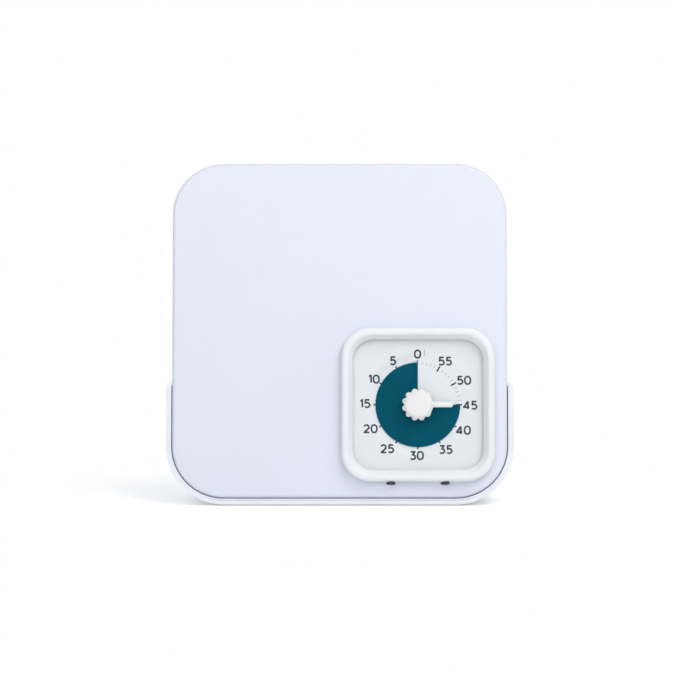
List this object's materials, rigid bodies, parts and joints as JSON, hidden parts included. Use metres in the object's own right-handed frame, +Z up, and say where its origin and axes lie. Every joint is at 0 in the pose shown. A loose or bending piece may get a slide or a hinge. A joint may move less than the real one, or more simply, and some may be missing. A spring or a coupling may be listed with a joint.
{
  "type": "visual countdown timer",
  "caption": "Square countdown timer with a film disc and centre knob, docked in a dry-erase board that stands in a bin.",
  "frame": {"origin": "centre of the underside of the stand's rubber pad, on the table", "axes": "+X to the viewer's right, +Y away from the viewer, +Z up"},
  "size_m": [0.202, 0.0603, 0.1983],
  "materials": {
    "stand_plastic": "satin bluish white moulded plastic",
    "grey_rubber": "matt grey rubber",
    "board_white": "smooth bluish white writing face",
    "back_plastic": "fine-textured white plastic",
    "screw_steel": "plated steel",
    "timer_white": "satin white moulded plastic",
    "clear_lens": "clear polished plastic",
    "dark_rubber": "matt dark rubber",
    "dial_print": "pale grey printed dial",
    "teal_film": "matt teal film",
    "knob_white": "satin white plastic",
    "inner_plastic": "plain natural plastic",
    "arbor_steel": "ground steel",
    "circuit_laminate": "green laminate",
    "black_plastic": "matt black plastic",
    "cell_case": null,
    "contact_steel": "nickel-plated spring steel"
  },
  "bodies": {
    "stand": {"stand_shell": "stand_plastic", "base_pad": "grey_rubber"},
    "board": {"board_panel": "board_white", "board_back": "back_plastic", "cover_screws": "screw_steel"},
    "timer": {"timer_bezel": "timer_white", "timer_lens": "clear_lens", "rear_case": "timer_white", "case_screws": "screw_steel", "timer_feet": "dark_rubber", "dial_plate": "dial_print", "movement_front": "inner_plastic", "movement_rear": "inner_plastic", "circuit_board": "circuit_laminate", "buzzer": "black_plastic", "switch_body": "black_plastic", "battery_cell": "cell_case", "plate_contact": "contact_steel", "spring_contact": "contact_steel"},
    "knob": {"knob": "knob_white", "disc_hub": "inner_plastic", "knob_arbor": "arbor_steel"},
    "disc": {"countdown_disc": "teal_film"},
    "alert": {"alert_switch": "black_plastic"},
    "door": {"battery_door": "timer_white"}
  },
  "joints": [
    {"name": "board_lift", "type": "slide", "parent": "stand", "child": "board", "axis": [0, 0.1045, 0.9945], "range_m": [0, 0.07]},
    {"name": "timer_pull", "type": "slide", "parent": "board", "child": "timer", "axis": [0, -0.9945, 0.1045], "range_m": [0, 0.045]},
    {"name": "knob_turn", "type": "hinge", "parent": "timer", "child": "knob", "pos_m": [0.0454, -0.02196, 0.05828], "axis": [0, -0.9945, 0.1045], "range_deg": [-270, 90]},
    {"name": "disc_follow", "type": "slide", "parent": "knob", "child": "disc", "axis": [0, -0.9945, 0.1045], "range_m": [-0.0009, 0.0003]},
    {"name": "alert_slide", "type": "slide", "parent": "timer", "child": "alert", "axis": [1, 0, 0], "range_m": [0, 0.004]},
    {"name": "door_pull", "type": "slide", "parent": "timer", "child": "door", "axis": [0, 0.9945, -0.1045], "range_m": [0, 0.008]}
  ],
  "couplings": [
    {"joint": "knob_turn", "follows": "disc_follow", "rad_per_m": 5236}
  ]
}
